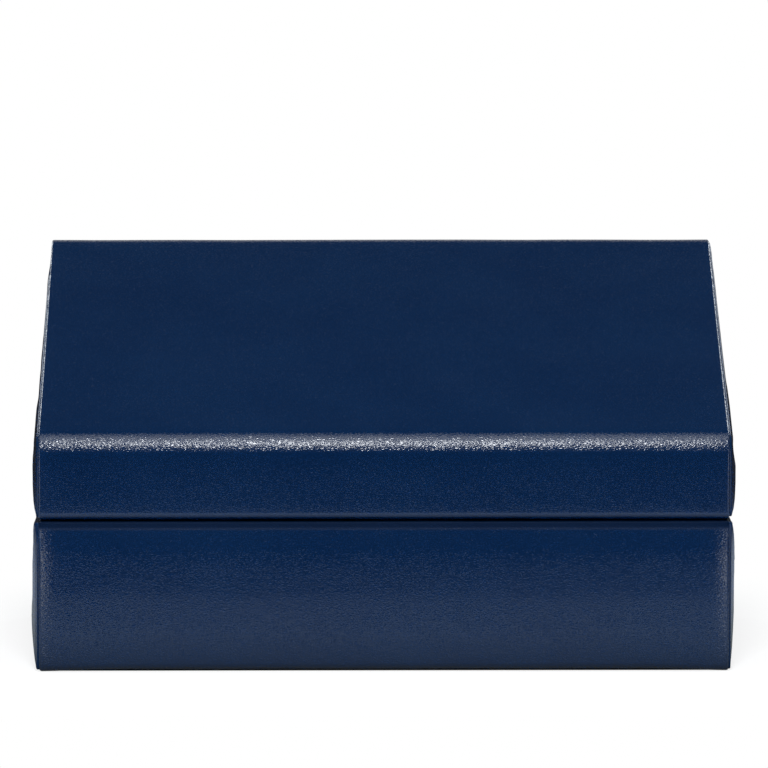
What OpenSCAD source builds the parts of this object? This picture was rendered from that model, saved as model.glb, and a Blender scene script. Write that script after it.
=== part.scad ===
// Leather jewellery case: slanted hinged lid, padded sides, lift-out tray with a small covered compartment.
// Millimetres, +Z up, front faces -Y, origin at the centre of the bottom of the bounding box.

/* [Case] */
// overall width over the padded sides
case_w = 288; // [250:1:330]
// depth of the case from front leather to back leather
case_d = 168.5; // [155:0.5:190]
// height of the joint between base and lid
base_h = 62; // [60:0.5:66]
// height of the front bend of the lid
nose_h = 95.4; // [95:0.2:106]
// slope of the lid top in degrees
slope = 22; // [20:0.5:25]
// gap between base rim and lid rim when closed
rim_gap = 0.3; // [0.2:0.05:0.6]

/* [Leather] */
// thickness of the wrapped leather with its thin foam
leather = 1.6; // [1.2:0.1:2]
// thickness of the leather on the back
back_leather = 1.4; // [1:0.1:1.8]
// thickness of leather turned over the rims
turn = 0.85; // [0.7:0.05:1]
// bulge of the padded sides beyond the wrapped panels
pad_crown = 4; // [2:0.25:6]
// step between side boards and the edge of the wrapped panels
wrap_edge = 2; // [1.5:0.25:3]
// extra padding in the middle of the base front
front_pad = 1.3; // [0.6:0.1:2]
// outer radius of the front bend of the lid
nose_r = 8; // [6:0.5:10]
// outer radius of the top ridge
ridge_r = 5; // [3.5:0.5:7]
// radius of the lower front edge of the lid
lid_edge_r = 4; // [3:0.25:5]
// radius of the upper front edge of the base
base_edge_r = 2.6; // [2.2:0.2:4]
// radius of the lower edges of the base
foot_r = 3; // [2.5:0.25:4]
// radius of the rim edges at the back
back_edge_r = 1.2; // [1:0.1:1.4]
// how far the lid front leans back towards its rim
lid_lean = 1.2; // [0.6:0.1:2]
// how far the base front leans back towards the ground
base_lean = 1; // [0.6:0.1:1.4]
// width of the leather turned under the floor
lip = 12; // [9:1:16]

/* [Boards] */
// thickness of the wooden boards
board = 5; // [4.5:0.5:6]
// thickness of the floor board
floor_t = 4; // [3:0.5:5]
// thickness of the suede linings
lining = 1.2; // [1:0.1:1.6]
// thickness of the bottom cover sheet
cover_t = 0.8; // [0.6:0.1:1.2]
// inset of the bottom cover from the outline
cover_inset = 5; // [4:0.5:8]

/* [Hinges] */
// distance of each hinge from the middle
hinge_x = 86; // [70:1:100]
// width of a hinge
hinge_w = 34; // [30:1:40]
// radius of the hinge barrel
barrel_r = 2.1; // [1.9:0.1:2.2]
// distance of the hinge axis behind the back leather
barrel_off = 2.55; // [2.55:0.05:2.9]
// radius of the hinge pin
pin_r = 1.2; // [1:0.1:1.3]
// radial play between pin and moving knuckle
pin_play = 0.05; // [0.03:0.01:0.08]
// gap between knuckles
knuckle_gap = 0.5; // [0.4:0.1:0.8]
// depth of the leaf over the board edge
leaf_d = 6; // [5.5:0.25:6.25]
// head radius of the hinge screws
screw_r = 1.7; // [1.5:0.1:1.8]
// radius of a screw shank
shank_r = 0.8; // [0.6:0.1:0.9]
// length of a screw shank in the board
shank_l = 7; // [5:0.5:9]

/* [Mirror and hooks] */
// width of the mirror glass
mirror_w = 132; // [110:1:150]
// thickness of the mirror glass
mirror_t = 2; // [1.5:0.25:3]
// width of the padded mirror frame
frame_w = 8; // [6:0.5:10]
// thickness of the padded mirror frame
frame_t = 3.2; // [2.8:0.2:4]
// distance of the mirror frame from the front corner along the slope
mirror_s = 14; // [12:1:16]
// length of each hook rail
rail_l = 40; // [36:1:44]
// place of the hook rails along the slope
rail_s = 26; // [24:1:34]
// thickness of the hook rails
rail_t = 4; // [3:0.5:5]
// depth of the hook rails along the slope
rail_d = 9; // [7:0.5:12]
// straight length of a hook
hook_l = 3.5; // [2.5:0.5:4]
// radius of the hook wire
hook_r = 0.9; // [0.7:0.1:1.2]
// radius of the hook bend
hook_bend = 3; // [2.5:0.5:3.5]
// depth of the lid pocket along the slope
pocket_l = 34; // [26:1:36]
// gap between the mirror frame and the pocket
pocket_gap = 3; // [2:0.5:6]
// gap between the pocket and the back lining
pocket_end = 3; // [2:0.5:6]
// gap between the pocket and the side linings
pocket_side = 8; // [4:1:14]
// thickness of the lid pocket
pocket_t = 4; // [3:0.5:5]

/* [Tray] */
// height of the tray
tray_h = 21.5; // [20:0.5:22]
// thickness of the tray walls
tray_wall = 3; // [2.6:0.2:3.6]
// thickness of the tray dividers
divider_t = 2.5; // [2.2:0.1:3]
// thickness of the tray floor
tray_floor_t = 2; // [1.6:0.2:3]
// play between tray and base lining
tray_clear = 0.8; // [0.6:0.1:1.2]
// how far the tray top lies below the base rim
tray_sink = 3.3; // [2.8:0.1:4]
// half width of the ring roll field
col_x = 44; // [38:1:50]
// number of ring rolls
roll_n = 10; // [9:1:11]
// thickness of the small compartment lid
flap_t = 2.4; // [2.2:0.1:3]
// radius of the small lid pin
flap_pin_r = 0.8; // [0.6:0.05:0.9]
// gap beside and behind the small lid
flap_gap = 0.5; // [0.4:0.1:0.8]
// how far the pin ends sit in the wall and divider
flap_hold = 1.6; // [1.2:0.1:1.8]
// how far the short dividers lie below the wall tops
cross_drop = 1.5; // [0.5:0.25:3]
// share of the tray depth in front of the covered compartment
flap_at = 0.66; // [0.6:0.01:0.7]

// how far the small lid lies below the wall tops
flap_drop = 0.1; // [0:0.1:0.4]
// width of the tray pull tabs
tab_w = 14; // [10:1:18]
// thickness of the pull tabs
tab_t = 1.2; // [0.8:0.1:1.6]
// height of the pull tabs above the walls
tab_h = 9; // [8:0.5:11]
// length of the pull tabs inside the tray
tab_in = 10; // [8:1:14]
// width of the small lid tab
ftab_w = 10; // [8:1:14]
// thickness of the small lid tab
ftab_t = 0.8; // [0.6:0.1:1.2]
// length of the small lid tab on the lid
ftab_on = 8; // [6:1:12]
// length of the small lid tab past the edge
ftab_out = 6; // [4:1:9]

/* [Closure] */
// radius of the closing magnets
magnet_r = 1.2; // [1:0.1:1.3]
// height of the closing magnets
magnet_h = 3; // [2:0.5:5]
// wall between the magnets and the inner face of the board
magnet_wall = 0.3; // [0.2:0.05:0.5]
// distance of the magnets from the middle
magnet_x = 60; // [40:5:110]

/* [Base inside] */
// width of the leather turned under the sides
side_lip = 4; // [3:0.5:8]
// width of the tray ledges
ledge_w = 4; // [3:0.5:6]
// height of the tray ledges
ledge_h = 6; // [5:0.5:8]
// thickness of the base dividers
base_div_t = 3; // [2.4:0.2:4]
// place of the cross divider
cross_x = 26; // [0:1:50]

/* [Hidden] */

leather_c = [0.06, 0.13, 0.27];
suede_c = [0.55, 0.56, 0.6];
wood_c = [0.7, 0.58, 0.42];
metal_c = [0.8, 0.78, 0.72];
glass_c = [0.75, 0.85, 0.9];

$fn = 48;
e = 0.01;
arc_n = 8;

// main planes
half_w = case_w / 2;
wrap_x = half_w - pad_crown;
side_x = wrap_x - wrap_edge;
in_x = side_x - board;
lin_x = in_x - lining;
y_f = -(case_d + barrel_off + barrel_r) / 2;
y_b = y_f + case_d;
base_low = cover_t;
base_top = base_h - rim_gap / 2;
lid_low = base_h + rim_gap / 2;
wood_top = base_top - turn;
wood_low = lid_low + turn;
foot_z = base_low + turn;
ax_y = y_b + barrel_off;
ax_z = base_h;

// small vector helpers
function unit(v) = v / norm(v);
function lft(u) = [-u[1], u[0]];
function turn_of(u, v) = acos(min(1, max(-1, u * v)));
function rot2(v, a) = [v[0] * cos(a) - v[1] * sin(a), v[0] * sin(a) + v[1] * cos(a)];

// one corner moved inward by d1 from the edge before it and d2 from the edge after it
function moved(a, b, c, d1, d2) =
  let(m = lft(unit(b - a)), n = lft(unit(c - b)), k = m * n)
  (1 - k * k < 0.0001) ? b + (d1 + d2) / 2 * (m + n) / (1 + k)
  : b + ((d1 - k * d2) * m + (d2 - k * d1) * n) / (1 - k * k);
function inset(p, d) = [
  for (i = [0 : len(p) - 1])
    moved(p[(i + len(p) - 1) % len(p)], p[i], p[(i + 1) % len(p)], d[(i + len(p) - 1) % len(p)], d[i])
];
function same(n, d) = [for (i = [1 : n]) d];

// points of one rounded corner
function bend(a, b, c, r) =
  let(u = unit(b - a), v = unit(c - b), w = turn_of(u, v), s = b - u * r * tan(w / 2), o = s + lft(u) * r)
  r < 0.05 ? [b] : [for (k = [0 : arc_n]) o + rot2(-lft(u) * r, w * k / arc_n)];
function bend_at(p, i, r) = bend(p[(i + len(p) - 1) % len(p)], p[i], p[(i + 1) % len(p)], r);
function join(ls) = [for (l = ls) for (q = l) q];
function flip(l) = [for (i = [len(l) - 1 : -1 : 0]) l[i]];
function rounded(p, r) = join([for (i = [0 : len(p) - 1]) bend_at(p, i, r[i])]);

// side outline of the lid: front bottom, back bottom, ridge, nose
function on_slope(y) = nose_h + (y - y_f) * tan(slope);
lid_c = [[y_f + lid_lean, lid_low], [y_b, lid_low], [y_b, on_slope(y_b)], [y_f, nose_h]];
lid_r = [lid_edge_r, back_edge_r, ridge_r, nose_r];
// wooden core of the lid
lid_wc = inset(lid_c, [turn, back_leather, leather, leather]);
lid_wr = [lid_edge_r - leather, 0, ridge_r - leather, nose_r - leather];
// inner faces of the lid boards and of the lining
lid_bc = inset(lid_wc, [0, board, board, board]);
lid_lc = inset(lid_bc, [0, lining, lining, lining]);

// side outline of the base: front bottom, back bottom, back top, front top, three points of the padded front
base_span = base_top - base_low;
front_r = 2.5 * base_span;
base_c = [
  [y_f + base_lean, base_low], [y_b, base_low], [y_b, base_top], [y_f + front_pad, base_top],
  [y_f + 0.2 * front_pad, base_low + 0.74 * base_span], [y_f, base_low + 0.5 * base_span],
  [y_f + 0.15 * front_pad, base_low + 0.26 * base_span]
];
base_r = [foot_r, foot_r, back_edge_r, base_edge_r, front_r, front_r, front_r];
// wooden core of the base
core_y = y_f + front_pad + leather;
base_wc = [[core_y, foot_z], [y_b - back_leather, foot_z], [y_b - back_leather, wood_top], [core_y, wood_top]];
base_wr = [foot_r - leather, foot_r - back_leather, 0, base_edge_r - leather];
in_yf = core_y + board;
in_yb = y_b - back_leather - board;
lin_yf = in_yf + lining;
lin_yb = in_yb - lining;
floor_z = foot_z + floor_t;
pad_z = floor_z + lining;

// tray planes
tray_x = lin_x - tray_clear;
tray_yf = lin_yf + tray_clear;
tray_yb = lin_yb - tray_clear;
tray_top = base_top - tray_sink;
tray_z = tray_top - tray_h;
tin_x = tray_x - tray_wall;
tin_yf = tray_yf + tray_wall;
tin_yb = tray_yb - tray_wall;
tin_z = tray_z + tray_floor_t;
tray_len = tin_yb - tin_yf;
roll_p = tray_len / roll_n;
roll_r = roll_p / 2 - 0.15;
flap_y0 = tin_yf + tray_len * flap_at;
flap_y = tin_yb - flap_t / 2 - 2 * flap_gap;
flap_z = tray_top - flap_drop - flap_t / 2;
flap_x0 = col_x + divider_t + flap_gap;
flap_x1 = tin_x - flap_gap;

// extrusion along X of a (y, z) outline
module along_x(x0, x1, p) {
  translate([x0, 0, 0])
    rotate([90, 0, 90])
      linear_extrude(x1 - x0)
        polygon(p);
}

module block(a, b) {
  translate(a)
    cube(b - a);
}

// padded side: outline rings that shrink while they rise
pad_d = [0, 0, 0.6, 1.5, 3, 6, 12, 18];
pad_h = [0, 0, 0.15, 0.275, 0.4, 0.525, 0.71, 0.86];

function ring(p, r, d, h) =
  [for (q = rounded(inset(p, same(len(p), d)), [for (s = r) max(s - d, 1)])) [h, q[0], q[1]]];
function turned(l, k) = [for (i = [0 : len(l) - 1]) l[(i + k) % len(l)]];
function crown(l, c, k, h) = [for (q = l) [h, c[0] + k * (q[1] - c[0]), c[1] + k * (q[2] - c[1])]];

module pad(p, r, c, k) {
  rings = [
    for (i = [0 : len(pad_d) - 1])
      ring(p, r, pad_d[i], i == 0 ? 0 : wrap_edge + pad_crown * pad_h[i])
  ];
  all = concat(rings, [crown(rings[len(rings) - 1], c, k, wrap_edge + pad_crown)]);
  n = len(all[0]);
  m = len(all);
  mid = [[0, c[0], c[1]], [all[m - 1][0][0], c[0], c[1]]];
  sides = [
    for (j = [0 : m - 2])
      for (i = [0 : n - 1])
        let(a = j * n + i, b = j * n + (i + 1) % n)
        each [[a, a + n, b + n], [a, b + n, b]]
  ];
  ends = [
    for (i = [0 : n - 1])
      let(b = (i + 1) % n, t = (m - 1) * n)
      each [[i, b, m * n], [t + b, t + i, m * n + 1]]
  ];
  polyhedron(concat(join(all), mid), concat(ends, sides));
}

lid_pm = [y_f + 0.6 * case_d, lid_low + 0.36 * (on_slope(y_b) - lid_low)];
base_pm = [y_f + case_d / 2, base_low + base_span / 2];

module base_pad() {
  pad(base_wc, base_wr, base_pm, 0.7);
}

module lid_pad() {
  pad(turned(lid_wc, 2), turned(lid_wr, 2), lid_pm, 0.6);
}

// both sides of the case for a shape given on the right
module both() {
  children();
  mirror([1, 0, 0])
    children();
}

module base_floor_board() {
  color(wood_c)
    block([-in_x, in_yf, foot_z], [in_x, in_yb, floor_z]);
}

module base_front_board() {
  color(wood_c)
    difference() {
      along_x(-in_x, in_x, join([
        [[in_yf, foot_z]], [[in_yf, wood_top]], bend_at(base_wc, 3, base_wr[3]), bend_at(base_wc, 0, base_wr[0])
      ]));
      magnet_pair(wood_top - magnet_h, wood_top + 1);
    }
}

module base_back_board() {
  color(wood_c)
    difference() {
      along_x(-in_x, in_x, join([
        [[in_yb, wood_top]], [[in_yb, foot_z]], bend_at(base_wc, 1, base_wr[1]), bend_at(base_wc, 2, 0)
      ]));
      shanks(wood_top - shank_l, wood_top + 1);
    }
}

module base_side_board_right() {
  color(wood_c)
    along_x(in_x, side_x, rounded(base_wc, base_wr));
}

module base_side_board_left() {
  color(wood_c)
    mirror([1, 0, 0])
      along_x(in_x, side_x, rounded(base_wc, base_wr));
}

module base_front_leather() {
  color(leather_c)
    along_x(-wrap_x, wrap_x, join([
      [[lin_yf, base_top]], bend_at(base_c, 3, base_r[3]), bend_at(base_c, 4, base_r[4]),
      bend_at(base_c, 5, base_r[5]), bend_at(base_c, 6, base_r[6]), bend_at(base_c, 0, base_r[0]),
      [[y_f + lip, base_low]], [[y_f + lip, foot_z]],
      flip(bend_at(base_wc, 0, base_wr[0])), flip(bend_at(base_wc, 3, base_wr[3])), [[lin_yf, wood_top]]
    ]));
}

module base_back_leather() {
  color(leather_c)
    difference() {
      along_x(-wrap_x, wrap_x, join([
        [[y_b - lip, base_low]], bend_at(base_c, 1, base_r[1]), bend_at(base_c, 2, base_r[2]),
        [[lin_yb, base_top]], [[lin_yb, wood_top]], bend_at(base_wc, 2, 0),
        flip(bend_at(base_wc, 1, base_wr[1])), [[y_b - lip, foot_z]]
      ]));
      leaf_room(wood_top, base_top + 1);
    }
}

module base_side_pad_right() {
  color(leather_c)
    translate([side_x, 0, 0])
      base_pad();
}

module base_side_pad_left() {
  color(leather_c)
    mirror([1, 0, 0])
      translate([side_x, 0, 0])
        base_pad();
}

module base_edge_strips() {
  color(leather_c)
    both() {
      block([lin_x, lin_yf, wood_top], [side_x, lin_yb, base_top]);
      block([in_x - side_lip, y_f + lip, base_low], [side_x, y_b - lip, foot_z]);
    }
}

module bottom_cover() {
  color(suede_c) {
    block([-side_x + cover_inset, y_f + cover_inset, 0], [side_x - cover_inset, y_b - cover_inset, cover_t]);
    block([-in_x + side_lip, y_f + lip, cover_t], [in_x - side_lip, y_b - lip, foot_z]);
  }
}

module base_floor_pad() {
  color(suede_c)
    block([-in_x, in_yf, floor_z], [in_x, in_yb, pad_z]);
}

module base_lining() {
  color(suede_c)
    difference() {
      block([-in_x, in_yf, pad_z], [in_x, in_yb, wood_top]);
      block([-lin_x, lin_yf, pad_z - 1], [lin_x, lin_yb, wood_top + 1]);
    }
}

module ledge() {
  block([lin_x - ledge_w, lin_yf, tray_z - ledge_h], [lin_x, lin_yb, tray_z]);
}

module tray_ledge_right() {
  color(suede_c)
    ledge();
}

module tray_ledge_left() {
  color(suede_c)
    mirror([1, 0, 0])
      ledge();
}

base_div_y = lin_yf + 0.46 * (lin_yb - lin_yf);
div_top = tray_z - ledge_h - tray_clear;

module base_divider_long() {
  color(suede_c)
    block([-lin_x, base_div_y, pad_z], [lin_x, base_div_y + base_div_t, div_top]);
}

module base_divider_cross() {
  color(suede_c)
    block([cross_x, base_div_y + base_div_t, pad_z], [cross_x + base_div_t, lin_yb, div_top]);
}

// hinges: leaves lie on the rims, barrels stand behind the back leather
outer_k = (hinge_w - 2 * knuckle_gap) * 0.29;
inner_k = hinge_w - 2 * knuckle_gap - 2 * outer_k;
leaf_y0 = y_b - leaf_d;

module hinge_places() {
  for (s = [-1, 1])
    translate([s * hinge_x, 0, 0])
      children();
}

module barrel(x0, x1, r) {
  translate([x0, ax_y, ax_z])
    rotate([0, 90, 0])
      cylinder(h = x1 - x0, r = r);
}

module leaf_room(z0, z1) {
  hinge_places()
    block([-hinge_w / 2, leaf_y0, z0], [hinge_w / 2, y_b + 1, z1]);
}

screw_y = y_b - leaf_d * 0.62;
screw_x = hinge_w * 0.32;

module screw_places() {
  hinge_places()
    for (s = [-1, 1])
      translate([s * screw_x, screw_y, 0])
        children();
}

module shanks(z0, z1) {
  screw_places()
    translate([0, 0, z0])
      cylinder(h = z1 - z0, r = shank_r);
}

head_h = turn;

module base_screw() {
  translate([0, 0, wood_top])
    cylinder(h = head_h, r1 = shank_r, r2 = screw_r);
  translate([0, 0, wood_top - shank_l])
    cylinder(h = shank_l, r = shank_r);
}

module lid_screw() {
  translate([0, 0, wood_low - head_h])
    cylinder(h = head_h, r1 = screw_r, r2 = shank_r);
  translate([0, 0, wood_low])
    cylinder(h = shank_l, r = shank_r);
}

module base_hinge_leaves() {
  color(metal_c)
    difference() {
      hinge_places() {
        block([-hinge_w / 2, leaf_y0, wood_top], [hinge_w / 2, y_b, base_top]);
        for (x = [-hinge_w / 2, hinge_w / 2 - outer_k])
          difference() {
            union() {
              block([x, y_b, wood_top], [x + outer_k, ax_y, base_top]);
              barrel(x, x + outer_k, barrel_r);
            }
            barrel(x - 1, x + outer_k + 1, pin_r);
          }
      }
      screw_places()
        translate([0, 0, wood_top])
          cylinder(h = head_h, r1 = shank_r, r2 = screw_r);
    }
}

module hinge_pins() {
  color(metal_c)
    hinge_places()
      barrel(-hinge_w / 2, hinge_w / 2, pin_r);
}

module base_hinge_screws() {
  color(metal_c)
    screw_places()
      base_screw();
}

module magnet_pair(z0, z1) {
  for (s = [-1, 1])
    translate([s * magnet_x, in_yf - magnet_wall - magnet_r, z0])
      cylinder(h = z1 - z0, r = magnet_r);
}

module base_magnets() {
  color(metal_c)
    magnet_pair(wood_top - magnet_h, wood_top);
}

// lid boards
lid_front_top = moved(lid_wc[2], lid_wc[3], lid_wc[0], board, 0);
lid_back_top = moved(lid_wc[1], lid_wc[2], lid_wc[3], 0, board);

module lid_front_board() {
  color(wood_c)
    difference() {
      along_x(-in_x, in_x, join([
        bend_at(lid_wc, 0, lid_wr[0]), [lid_bc[0]], [lid_bc[3]], [lid_front_top]
      ]));
      magnet_pair(wood_low - 1, wood_low + magnet_h);
    }
}

module lid_slant_board() {
  color(wood_c)
    along_x(-in_x, in_x, join([
      [lid_front_top], [lid_back_top], bend_at(lid_wc, 2, lid_wr[2]), bend_at(lid_wc, 3, lid_wr[3])
    ]));
}

module lid_back_board() {
  color(wood_c)
    difference() {
      along_x(-in_x, in_x, [lid_bc[1], lid_wc[1], lid_back_top, lid_bc[2]]);
      shanks(wood_low - 1, wood_low + shank_l);
    }
}

module lid_side_board_right() {
  color(wood_c)
    along_x(in_x, side_x, rounded(lid_wc, lid_wr));
}

module lid_side_board_left() {
  color(wood_c)
    mirror([1, 0, 0])
      along_x(in_x, side_x, rounded(lid_wc, lid_wr));
}

module lid_wrap_leather() {
  color(leather_c)
    difference() {
      along_x(-wrap_x, wrap_x, join([
        [[lid_lc[1][0], lid_low]], bend_at(lid_c, 1, lid_r[1]), bend_at(lid_c, 2, lid_r[2]),
        bend_at(lid_c, 3, lid_r[3]), bend_at(lid_c, 0, lid_r[0]), [[lid_lc[0][0], lid_low]],
        [[lid_lc[0][0], wood_low]], flip(bend_at(lid_wc, 0, lid_wr[0])),
        flip(bend_at(lid_wc, 3, lid_wr[3])), flip(bend_at(lid_wc, 2, lid_wr[2])),
        bend_at(lid_wc, 1, 0), [[lid_lc[1][0], wood_low]]
      ]));
      leaf_room(lid_low - 1, wood_low);
    }
}

module lid_side_pad_right() {
  color(leather_c)
    translate([side_x, 0, 0])
      lid_pad();
}

module lid_side_pad_left() {
  color(leather_c)
    mirror([1, 0, 0])
      translate([side_x, 0, 0])
        lid_pad();
}

module lid_rim_strips() {
  color(leather_c)
    both()
      block([lin_x, lid_lc[0][0], lid_low], [side_x, lid_lc[1][0], wood_low]);
}

module lid_lining() {
  color(suede_c)
    along_x(-in_x, in_x, [
      lid_bc[1], lid_bc[2], lid_bc[3], lid_bc[0], lid_lc[0], lid_lc[3], lid_lc[2], lid_lc[1]
    ]);
}

module lid_lining_sides() {
  color(suede_c)
    both()
      along_x(lin_x, in_x, lid_lc);
}

// frame on the inner face of the slope: y runs up the slope, z points out of the hollow
module on_slant() {
  translate([0, lid_lc[3][0], lid_lc[3][1]])
    rotate([slope, 0, 0])
      children();
}

slope_l = norm(lid_lc[2] - lid_lc[3]);
pocket_s = slope_l - pocket_end - pocket_l;
mirror_l = pocket_s - pocket_gap - 2 * frame_w - mirror_s;

module mirror_frame() {
  color(suede_c)
    on_slant()
      difference() {
        block(
          [-mirror_w / 2 - frame_w, mirror_s, -frame_t],
          [mirror_w / 2 + frame_w, mirror_s + mirror_l + 2 * frame_w, 0]
        );
        block(
          [-mirror_w / 2 + 1.5, mirror_s + frame_w + 1.5, -frame_t - 1],
          [mirror_w / 2 - 1.5, mirror_s + frame_w + mirror_l - 1.5, 1]
        );
        block(
          [-mirror_w / 2, mirror_s + frame_w, -mirror_t],
          [mirror_w / 2, mirror_s + frame_w + mirror_l, 1]
        );
      }
}

module mirror_glass() {
  color(glass_c)
    on_slant()
      block([-mirror_w / 2, mirror_s + frame_w, -mirror_t], [mirror_w / 2, mirror_s + frame_w + mirror_l, 0]);
}

rail_x = (lin_x + mirror_w / 2 + frame_w) / 2;

module rail() {
  on_slant()
    translate([rail_x, rail_s, -rail_t])
      block([-rail_l / 2, -rail_d / 2, 0], [rail_l / 2, rail_d / 2, rail_t]);
}

module hook() {
  translate([0, 0, -hook_l])
    cylinder(h = hook_l, r = hook_r, $fn = 24);
  translate([0, -hook_bend, -hook_l])
    rotate([90, 0, 90])
      rotate_extrude(angle = -90, $fn = 32)
        translate([hook_bend, 0])
          circle(r = hook_r, $fn = 24);
  translate([0, -hook_bend, -hook_l - hook_bend])
    sphere(r = hook_r * 1.7, $fn = 24);
}

module hooks() {
  on_slant()
    translate([rail_x, rail_s, -rail_t])
      for (k = [-1, 0, 1])
        translate([k * rail_l * 0.34, 0, 0])
          hook();
}

module hook_rail_right() {
  color(leather_c)
    rail();
}

module hook_rail_left() {
  color(leather_c)
    mirror([1, 0, 0])
      rail();
}

module necklace_hooks_right() {
  color(metal_c)
    hooks();
}

module necklace_hooks_left() {
  color(metal_c)
    mirror([1, 0, 0])
      hooks();
}

module lid_pocket() {
  color(suede_c)
    on_slant()
      along_x(-lin_x + pocket_side, lin_x - pocket_side, [
        [pocket_s, 0], [pocket_s, -pocket_t], [pocket_s + 0.3 * pocket_l, -pocket_t],
        [pocket_s + pocket_l, -0.8], [pocket_s + pocket_l, 0]
      ]);
}

module lid_hinge_leaves() {
  color(metal_c)
    difference() {
      hinge_places() {
        block([-hinge_w / 2, leaf_y0, lid_low], [hinge_w / 2, y_b, wood_low]);
        difference() {
          union() {
            block([-inner_k / 2, y_b, lid_low], [inner_k / 2, ax_y, wood_low]);
            barrel(-inner_k / 2, inner_k / 2, barrel_r);
          }
          barrel(-inner_k / 2 - 1, inner_k / 2 + 1, pin_r + pin_play);
        }
      }
      screw_places()
        translate([0, 0, wood_low - head_h])
          cylinder(h = head_h, r1 = screw_r, r2 = shank_r);
    }
}

module lid_hinge_screws() {
  color(metal_c)
    screw_places()
      lid_screw();
}

module lid_magnets() {
  color(metal_c)
    magnet_pair(wood_low, wood_low + magnet_h);
}

// tray
module tray_floor() {
  color(suede_c)
    block([-tin_x, tin_yf, tray_z], [tin_x, tin_yb, tin_z]);
}

module tray_wall_front() {
  color(leather_c)
    block([-tin_x, tray_yf, tray_z], [tin_x, tin_yf, tray_top]);
}

module tray_wall_back() {
  color(leather_c)
    block([-tin_x, tin_yb, tray_z], [tin_x, tray_yb, tray_top]);
}

module side_wall() {
  block([tin_x, tray_yf, tray_z], [tray_x, tray_yb, tray_top]);
}

module flap_bore(x0, x1) {
  translate([x0, flap_y, flap_z])
    rotate([0, 90, 0])
      cylinder(h = x1 - x0, r = flap_pin_r + pin_play);
}

module tray_wall_right() {
  color(leather_c)
    difference() {
      side_wall();
      flap_bore(tin_x - 1, tin_x + flap_hold + 0.2);
    }
}

module tray_wall_left() {
  color(leather_c)
    mirror([1, 0, 0])
      side_wall();
}

module long_divider() {
  block([col_x, tin_yf, tin_z], [col_x + divider_t, tin_yb, tray_top]);
}

module tray_divider_right() {
  color(suede_c)
    difference() {
      long_divider();
      flap_bore(col_x + divider_t - flap_hold - 0.2, col_x + divider_t + 1);
    }
}

module tray_divider_left() {
  color(suede_c)
    mirror([1, 0, 0])
      long_divider();
}

module tray_cross_dividers() {
  color(suede_c)
    for (k = [1, 2])
      block(
        [-tin_x, tin_yf + tray_len * k / 3 - divider_t / 2, tin_z],
        [-col_x - divider_t, tin_yf + tray_len * k / 3 + divider_t / 2, tray_top - cross_drop]
      );
}

module tray_flap_rest() {
  color(suede_c)
    block(
      [col_x + divider_t, flap_y0, tin_z],
      [tin_x, flap_y0 + divider_t, tray_top - flap_drop - flap_t]
    );
}

module tray_ring_rolls() {
  color(suede_c)
    for (k = [0 : roll_n - 1])
      translate([-col_x + 0.3, tin_yf + roll_p * (k + 0.5), tin_z + roll_r])
        rotate([0, 90, 0])
          cylinder(h = 2 * col_x - 0.6, r = roll_r);
}

tab_y = tin_yf + tray_len / 2 - tab_w / 2;

module tab() {
  translate([tin_x - tab_t, 0, tray_top]) {
    block([0, -tab_w / 2, -tab_in], [tab_t, tab_w / 2, tab_h - tab_w / 2]);
    translate([0, 0, tab_h - tab_w / 2])
      rotate([0, 90, 0])
        cylinder(h = tab_t, r = tab_w / 2);
  }
}

module tray_tab_right() {
  color(leather_c)
    translate([0, tab_y, 0])
      tab();
}

module tray_tab_left() {
  color(leather_c)
    mirror([1, 0, 0])
      translate([0, tab_y, 0])
        tab();
}

// small lid of the covered compartment
module flap_board() {
  color(suede_c)
    difference() {
      union() {
        block([flap_x0, flap_y0, flap_z - flap_t / 2], [flap_x1, flap_y, flap_z + flap_t / 2]);
        translate([flap_x0, flap_y, flap_z])
          rotate([0, 90, 0])
            cylinder(h = flap_x1 - flap_x0, r = flap_t / 2);
      }
      translate([flap_x0 - 1, flap_y, flap_z])
        rotate([0, 90, 0])
          cylinder(h = flap_x1 - flap_x0 + 2, r = flap_pin_r);
    }
}

module flap_pin() {
  color(metal_c)
    translate([col_x + divider_t - flap_hold, flap_y, flap_z])
      rotate([0, 90, 0])
        cylinder(h = tin_x - col_x - divider_t + 2 * flap_hold, r = flap_pin_r);
}

module flap_tab() {
  color(leather_c)
    translate([(flap_x0 + flap_x1) / 2, flap_y0, flap_z + flap_t / 2])
      block([-ftab_w / 2, -ftab_out, 0], [ftab_w / 2, ftab_on, ftab_t]);
}

base_floor_board();
base_front_board();
base_back_board();
base_side_board_left();
base_side_board_right();
base_front_leather();
base_back_leather();
base_side_pad_left();
base_side_pad_right();
base_edge_strips();
bottom_cover();
base_floor_pad();
base_lining();
tray_ledge_left();
tray_ledge_right();
base_divider_long();
base_divider_cross();
base_hinge_leaves();
hinge_pins();
base_hinge_screws();
base_magnets();
lid_front_board();
lid_slant_board();
lid_back_board();
lid_side_board_left();
lid_side_board_right();
lid_wrap_leather();
lid_side_pad_left();
lid_side_pad_right();
lid_rim_strips();
lid_lining();
lid_lining_sides();
mirror_frame();
mirror_glass();
hook_rail_left();
hook_rail_right();
necklace_hooks_left();
necklace_hooks_right();
lid_pocket();
lid_hinge_leaves();
lid_hinge_screws();
lid_magnets();
tray_floor();
tray_wall_front();
tray_wall_back();
tray_wall_left();
tray_wall_right();
tray_divider_left();
tray_divider_right();
tray_cross_dividers();
tray_flap_rest();
tray_ring_rolls();
tray_tab_left();
tray_tab_right();
flap_board();
flap_pin();
flap_tab();
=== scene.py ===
"""Leather jewellery case: its coverings, linings, fittings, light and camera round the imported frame."""

import math

import bmesh
import bpy
import numpy as np
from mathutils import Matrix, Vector
from mathutils import noise as field


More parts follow.
